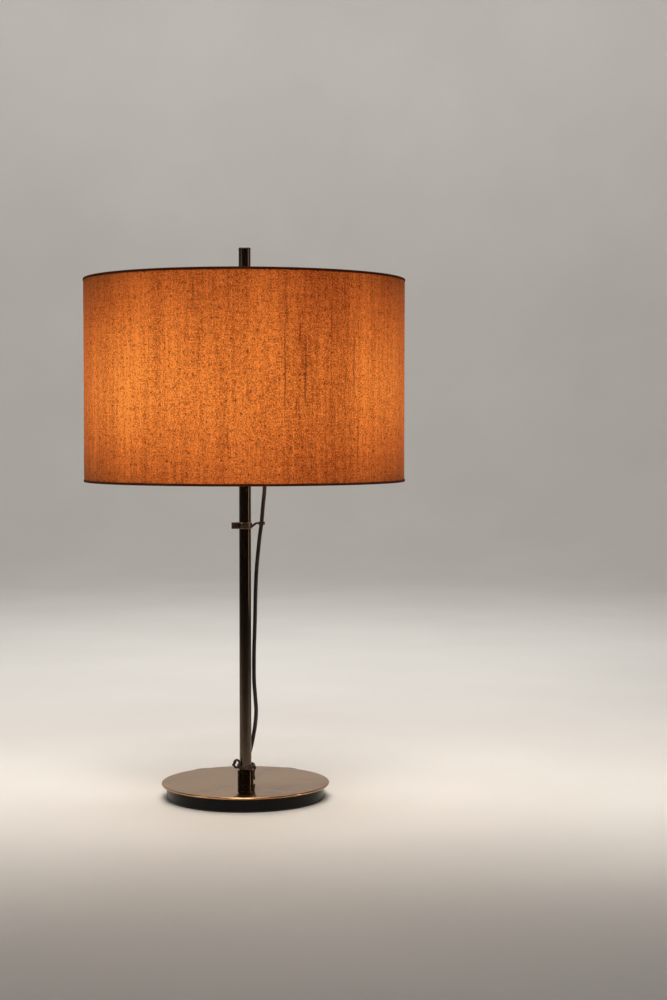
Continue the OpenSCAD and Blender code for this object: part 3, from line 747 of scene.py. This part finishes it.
def bakelite_look(name, dark, light, rough=0.24):
    """Moulded phenolic: mottled flow lines, fine mould texture, rubbed highlights."""
    look = Look(name, Coat_Weight=0.25, Coat_Roughness=0.2)
    flow = look.noise(55, 6, 0.62, (1, 0.55, 1.4), distort=2.4)
    fine = look.noise(1100, 3, 0.6)
    rub = look.spread(look.noise(34, 4, 0.6), 0.45, 0.75)
    tone = look.blend(look.spread(flow, 0.35, 0.68), dark, light)
    tone = look.blend(look.spread(fine, 0.55, 0.8, 0, 0.35), tone, light)
    return look.feed(Base_Color=tone, Roughness=look.spread(rub, 0, 1, rough, rough + 0.22),
                     Normal=look.bump(look.math("ADD", fine, flow), 0.18, 0.10 * MM))


def porcelain_look():
    look = Look("porcelain", Coat_Weight=0.7, Coat_Roughness=0.05)
    cloud = look.noise(120, 4, 0.6)
    speck = look.spread(look.noise(900, 1, 0.5), 0.72, 0.76)
    tone = look.blend(look.spread(cloud, 0.35, 0.7), rgb(236, 228, 210), rgb(214, 202, 178))
    tone = look.blend(speck, tone, rgb(88, 66, 48))
    return look.feed(Base_Color=tone, Roughness=look.spread(cloud, 0.3, 0.7, 0.12, 0.3),
                     Normal=look.bump(cloud, 0.1, 0.2 * MM))


def painted_wire_look():
    """Wire with a thin ivory coating, rubbed and spotted with rust."""
    look = Look("ring_wire", Coat_Weight=0.2, Coat_Roughness=0.25)
    cloud = look.spread(look.noise(70, 5, 0.6), 0.4, 0.72)
    rust = look.spread(look.noise(330, 3, 0.65), 0.64, 0.72)
    tone = look.blend(cloud, rgb(196, 186, 166), rgb(158, 142, 118))
    tone = look.blend(look.math("MULTIPLY", rust, 0.85), tone, rgb(104, 58, 32))
    return look.feed(Base_Color=tone, Roughness=look.spread(rust, 0, 1, 0.38, 0.8),
                     Normal=look.bump(look.math("SUBTRACT", cloud, rust), 0.3, 0.12 * MM))


def bulb_glass_look():
    """Pearl glass, lit from inside, its warmth varying in soft clouds."""
    look = Look("bulb_glass", Roughness=0.32, Transmission_Weight=0.15, IOR=1.45, Emission_Strength=3.2)
    frost = look.noise(500, 3, 0.5)
    cloud = look.noise(40, 3, 0.5)
    warm = look.blend(look.spread(cloud, 0.35, 0.7), rgb(255, 214, 150), rgb(255, 196, 122))
    base = look.blend(look.spread(frost, 0.3, 0.7), rgb(250, 240, 222), rgb(236, 222, 198))
    return look.feed(Base_Color=base, Emission_Color=warm, Normal=look.bump(frost, 0.15, 0.05 * MM))


def filament_look():
    look = Look("filament", Roughness=0.2, Emission_Strength=4.0)
    band = look.spread(look.noise(700, 2, 0.5), 0.35, 0.65)
    tone = look.blend(band, rgb(220, 215, 205), rgb(120, 116, 110))
    hot = look.blend(band, rgb(255, 190, 110), rgb(255, 160, 70))
    return look.feed(Base_Color=tone, Emission_Color=hot)


def sheath_look(name, dark, light, rough):
    """Flexible cord sheath: a faint lengthwise mould line, dull scuffs, fine grain."""
    look = Look(name, Coat_Weight=0.15, Coat_Roughness=0.3)
    scuff = look.spread(look.noise(1, 5, 0.65, (14, 260, 1), uv="route"), 0.45, 0.75)
    fine = look.noise(1, 3, 0.6, (60, 3200, 1), uv="route")
    streak = look.noise(1, 2, 0.5, (9, 22, 1), uv="route")
    tone = look.blend(look.spread(streak, 0.3, 0.7), dark, light)
    tone = look.blend(look.math("MULTIPLY", scuff, 0.4), tone, rgb(72, 56, 46))
    height = look.math("ADD", fine, look.math("MULTIPLY", streak, 2.0))
    return look.feed(Base_Color=tone, Roughness=look.spread(scuff, 0, 1, rough, rough + 0.25),
                     Normal=look.bump(height, 0.3, 0.08 * MM))


def rubber_look(name, dark, light, rough):
    """Moulded rubber or a coated wire: fine grain, dust in soft patches."""
    look = Look(name)
    grain = look.noise(1300, 3, 0.6)
    dust = look.spread(look.noise(150, 4, 0.65), 0.45, 0.72)
    tone = look.blend(dust, dark, light)
    return look.feed(Base_Color=tone, Roughness=look.spread(dust, 0, 1, rough, rough + 0.25),
                     Normal=look.bump(grain, 0.3, 0.08 * MM))


def binding_look():
    """Dark cotton twill, cut on the bias, so its ribs run aslant."""
    look = Look("binding", Sheen_Weight=0.08, Sheen_Roughness=0.5, Sheen_Tint=rgb(190, 104, 64),
                Specular_IOR_Level=0.1)
    place = look.place((1, 1, 1), "cloth")
    place = look.node("Mapping", Vector=place, Rotation=(0, 0, math.radians(38)))
    rib = look.node("TexWave", Vector=place, Scale=420, Distortion=2.0, Detail=2.0, Detail_Scale=1.5)
    fuzz = look.noise(1, 3, 0.6, (900, 900, 1), uv="cloth")
    fade = look.noise(1, 3, 0.6, (60, 200, 1), uv="cloth")
    tone = look.blend(look.spread(rib, 0.1, 0.9), rgb(34, 13, 8), rgb(84, 36, 20))
    tone = look.blend(look.spread(fade, 0.4, 0.75, 0, 0.5), tone, rgb(92, 44, 26))
    return look.feed(Base_Color=tone, Roughness=look.spread(fuzz, 0, 1, 0.8, 0.98),
                     Normal=look.bump(look.math("ADD", rib, fuzz), 0.6, 0.15 * MM))


def cloth_look():
    """Slubbed rust cloth with a painted glow through emission, standing in for the light coming through it:
    thick threads and specks let less of it through.
    """
    look = Look("shade_cloth", Sheen_Weight=0.08, Sheen_Roughness=0.4, Sheen_Tint=rgb(214, 120, 60),
                Emission_Strength=1.0, Specular_IOR_Level=0.2)
    yarn, slub, glow = (look.value(n) for n in ("yarn", "slub", "glow"))
    grain = look.noise(1, 2, 0.65, (640, 520, 1), uv="cloth")
    thread = look.noise(1, 3, 0.6, (700, 30, 1), uv="cloth")
    weft = look.noise(1, 2, 0.5, (45, 620, 1), uv="cloth")
    speck = look.spread(look.noise(1, 2, 0.5, (360, 200, 1), uv="cloth"), 0.60, 0.69)
    band = look.noise(1, 2, 0.5, (26, 2.2, 1), uv="cloth")
    mottle = look.noise(1, 3, 0.6, (170, 140, 1), uv="cloth")
    thin = look.spread(grain, 0.28, 0.72, -1.3, 1.3)
    for part, swing in ((thread, 0.22), (weft, 0.16), (band, 0.22), (mottle, 0.4)):
        thin = look.math("ADD", thin, look.spread(part, 0.3, 0.7, -swing, swing))
    thin = look.math("SUBTRACT", thin, look.math("MULTIPLY", yarn, 0.5))
    clear = look.spread(thin, -1.3, 1.3)
    dyed = look.blend(clear, rgb(142, 68, 20), rgb(255, 168, 72))
    dyed = look.blend(look.math("MULTIPLY", speck, 0.8), dyed, rgb(92, 33, 10))
    beads = look.spread(grain, 0.35, 0.65, 1.0, 0.6)
    dyed = look.blend(look.math("MULTIPLY", slub, beads), dyed, rgb(78, 28, 10))
    # Painted light: the emission is the dyed colour, tinted redder where the painted glow is weak and scaled
    # by that glow.
    painted_glow_tint = look.blend(look.spread(glow, 0.4, 1.35), (1.0, 0.56, 0.5), (1.0, 0.98, 0.98))
    lit = look.blend(1.0, dyed, painted_glow_tint, "MULTIPLY")
    lit = look.node("VectorMath", settings={"operation": "SCALE"}, _0=lit, Scale=glow)
    height = look.math("ADD", thread, look.math("MULTIPLY", weft, 0.6))
    height = look.math("ADD", height, grain)
    unlit = look.blend(1.0, dyed, rgb(190, 160, 160), "MULTIPLY")
    return look.feed(Base_Color=unlit, Emission_Color=lit, Roughness=look.spread(clear, 0, 1, 0.95, 0.82),
                     Normal=look.bump(height, 0.7, 0.3 * MM))


def lining_look():
    """Cream lining, lit by the bulbs and given a faint painted glow through emission, with a fine plain
    weave.
    """
    look = Look("shade_lining", Emission_Strength=0.35)
    warp = look.noise(1, 2, 0.5, (1500, 60, 1), uv="cloth")
    weft = look.noise(1, 2, 0.5, (60, 1500, 1), uv="cloth")
    scorch = look.spread(look.noise(1, 4, 0.6, (9, 14, 1), uv="cloth"), 0.4, 0.75)
    weave = look.math("ADD", warp, weft)
    tone = look.blend(look.spread(weave, 0.7, 1.3), rgb(222, 190, 142), rgb(246, 226, 190))
    tone = look.blend(look.math("MULTIPLY", scorch, 0.5), tone, rgb(206, 160, 104))
    return look.feed(Base_Color=tone, Emission_Color=tone, Roughness=look.spread(weave, 0.5, 1.5, 0.75, 0.95),
                     Normal=look.bump(weave, 0.4, 0.1 * MM))


def leads_look():
    """Braided cotton over the short leads inside the junction box."""
    look = Look("leads", Sheen_Weight=0.4)
    braid = look.node("TexWave", Vector=look.place(), Scale=260, Distortion=4.0, Detail=2.0)
    fuzz = look.noise(1600, 3, 0.6)
    tone = look.blend(look.spread(braid, 0.2, 0.8), rgb(44, 30, 22), rgb(108, 82, 58))
    return look.feed(Base_Color=tone, Roughness=look.spread(fuzz, 0, 1, 0.8, 1.0),
                     Normal=look.bump(look.math("ADD", braid, fuzz), 0.5, 0.1 * MM))


def paint(made, material):
    if made.material_slots:
        for holder in made.material_slots:
            holder.material = material
    else:
        made.data.materials.append(material)


# Painted reflection: the pole's chrome is darkened as if it mirrored a dark room, and the disc's chrome is
# tinted warm brown as if it mirrored a warm-lit wall.
pole_chrome_painted_dark = chrome_look("pole_chrome_painted_dark", rgb(82, 70, 60), rgb(56, 41, 31), (1, 1, 0.04))
disc_chrome_painted_warm = chrome_look("disc_chrome_painted_warm", rgb(208, 162, 118), rgb(160, 112, 74), (1, 0.05, 1), 0.05)
small_chrome = chrome_look("small_chrome", rgb(182, 168, 152), rgb(126, 104, 86), (0.05, 1, 1), 0.08)
steel = metal_look("steel", rgb(150, 146, 140), rgb(98, 92, 86), rgb(70, 46, 32), 0.24)
clip_steel = metal_look("clip_steel", rgb(110, 98, 88), rgb(62, 50, 43), rgb(50, 32, 22), 0.26, 160)
brass = metal_look("brass", rgb(208, 166, 92), rgb(158, 116, 58), rgb(84, 58, 30), 0.2)
bakelite = bakelite_look("bakelite", rgb(34, 24, 19), rgb(66, 42, 30))
knob_bakelite = bakelite_look("knob_bakelite", rgb(40, 26, 18), rgb(84, 50, 32), 0.2)
wire = painted_wire_look()
glass = bulb_glass_look()
filament = filament_look()

FINISHES = [
    (pole_chrome_painted_dark, ["pole", "pole_cap", "collar", "slider_sleeve"]),
    (disc_chrome_painted_warm, ["base_cover"]),
    (small_chrome, ["slider_screw", "shade_ring"]),
    (enamel_look(), ["base_weight"]),
    (felt_look(), ["felt_pad"]),
    (steel, ["base_washer", "base_nut", "tie_rod", "foot_bush", "hub_nut", "lid_screws", "clip_nut"]),
    (clip_steel, ["clip_band", "clip_screw"]),
    (bakelite, ["junction_box", "junction_lid", "switch_body", "right_holder", "left_holder"]),
    (knob_bakelite, ["switch_knob"]),
    (porcelain_look(), ["terminal_block"]),
    (brass, ["holder_nipples", "right_contacts", "left_contacts", "right_bulb_cap", "left_bulb_cap",
             "plug_blades"]),
    (wire, ["shade_spider", "top_ring", "bottom_ring"]),
    (leads_look(), ["lamp_leads"]),
    (glass, ["right_bulb_glass", "left_bulb_glass"]),
    (filament, ["right_filament", "left_filament"]),
]
for finish, names in FINISHES:
    for name in names:
        paint(nodes[name], finish)

paint(cord, sheath_look("cord_sheath", rgb(20, 13, 11), rgb(40, 26, 20), 0.34))
moulding = rubber_look("plug_moulding", rgb(24, 17, 14), rgb(46, 34, 28), 0.42)
paint(plug, moulding)
paint(relief, moulding)
coated = rubber_look("tie_wire", rgb(34, 22, 15), rgb(72, 50, 32), 0.36)
paint(hank_tie, coated)
paint(foot_tie, coated)
binding = binding_look()
paint(top_binding, binding)
paint(bottom_binding, binding)
paint(cloth, cloth_look())
paint(lining, lining_look())
paint(weld_beads, wire)


# ---------------------------------------------------------------- floor, backdrop and light

def make_stage():
    """A round pale floor that curves up into a wall all round."""
    flat, curve, wall, sides = 3.2, 1.0, 2.4, 120
    angle = 2 * math.pi * np.arange(sides) / sides
    profile = [(r, 0) for r in (0.3, 0.8, 1.6, flat)]
    profile += [(flat + curve * math.sin(t), curve * (1 - math.cos(t)))
                for t in np.radians(np.linspace(9, 90, 10))]
    profile.append((flat + curve, curve + wall))
    points = [(0, 0, 0)] + [(r * math.cos(a), r * math.sin(a), z) for r, z in profile for a in angle]
    faces = [(0, 1 + k, 1 + (k + 1) % sides) for k in range(sides)]
    faces += [tuple(1 + k for k in face[::-1]) for face in grid_faces(len(profile), sides)]
    made = mesh_piece("floor", points, faces)
    look = Look("floor", Roughness=0.8)
    cloud = look.noise(3, 4, 0.5)
    made.data.materials.append(look.feed(
        Base_Color=look.blend(look.spread(cloud, 0.3, 0.7), (0.70, 0.685, 0.66), (0.74, 0.725, 0.70))))


def area_light(name, place, target, size, power, spread=180, colour=(1, 0.97, 0.93)):
    data = bpy.data.lights.new(name, "AREA")
    data.spread = math.radians(spread)
    data.shape = "RECTANGLE"
    data.size, data.size_y = size
    data.energy = power
    data.color = colour
    made = bpy.data.objects.new(name, data)
    made.location = place
    made.rotation_euler = (Vector(target) - Vector(place)).to_track_quat("-Z", "Y").to_euler()
    bpy.context.scene.collection.objects.link(made)


def bulb_light(node, body, power):
    """The light that a bulb gives, from a ball just larger than its globe."""
    low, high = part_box(node)
    radius = (high.z - low.z) / 2
    tip = high.x if high.x > -low.x else low.x
    data = bpy.data.lights.new(node + "_light", "POINT")
    data.shadow_soft_size = radius + 1 * MM
    data.energy = power
    data.color = (1.0, 0.74, 0.46)
    made = bpy.data.objects.new(node + "_light", data)
    made.location = (tip - math.copysign(radius, tip), 0, (low.z + high.z) / 2)
    made.visible_camera = False
    bpy.context.scene.collection.objects.link(made)
    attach(made, body)


make_stage()
bulb_light("right_bulb_glass", "right_bulb", 3.0)
bulb_light("left_bulb_glass", "left_bulb", 3.0)
area_light("top", (0.0, 0.9, 2.6), (0, 0.8, 0), (2.2, 1.6), 18, 90)
area_light("rim", (0.0, -0.9, 1.5), (0, 0, 0), (2.4, 0.3), 2.8, 40, (1, 0.94, 0.86))
area_light("left", (-2.1, -0.9, 1.4), (0, 0.1, 0.4), (0.9, 1.6), 0.8, 60)
area_light("right", (1.9, -0.45, 0.6), (0, 0, 0.6), (0.14, 1.1), 0.8, 80, (1, 0.66, 0.46))
area_light("back", (0.0, 2.0, 2.6), (0, 4.2, 0.5), (3.2, 1.0), 40)
world = bpy.data.worlds.new("studio")
bpy.context.scene.world = world
world.use_nodes = True
world.node_tree.nodes["Background"].inputs["Color"].default_value = (1, 0.98, 0.95, 1)
world.node_tree.nodes["Background"].inputs["Strength"].default_value = 0.04
bpy.context.scene.view_settings.view_transform = "Standard"
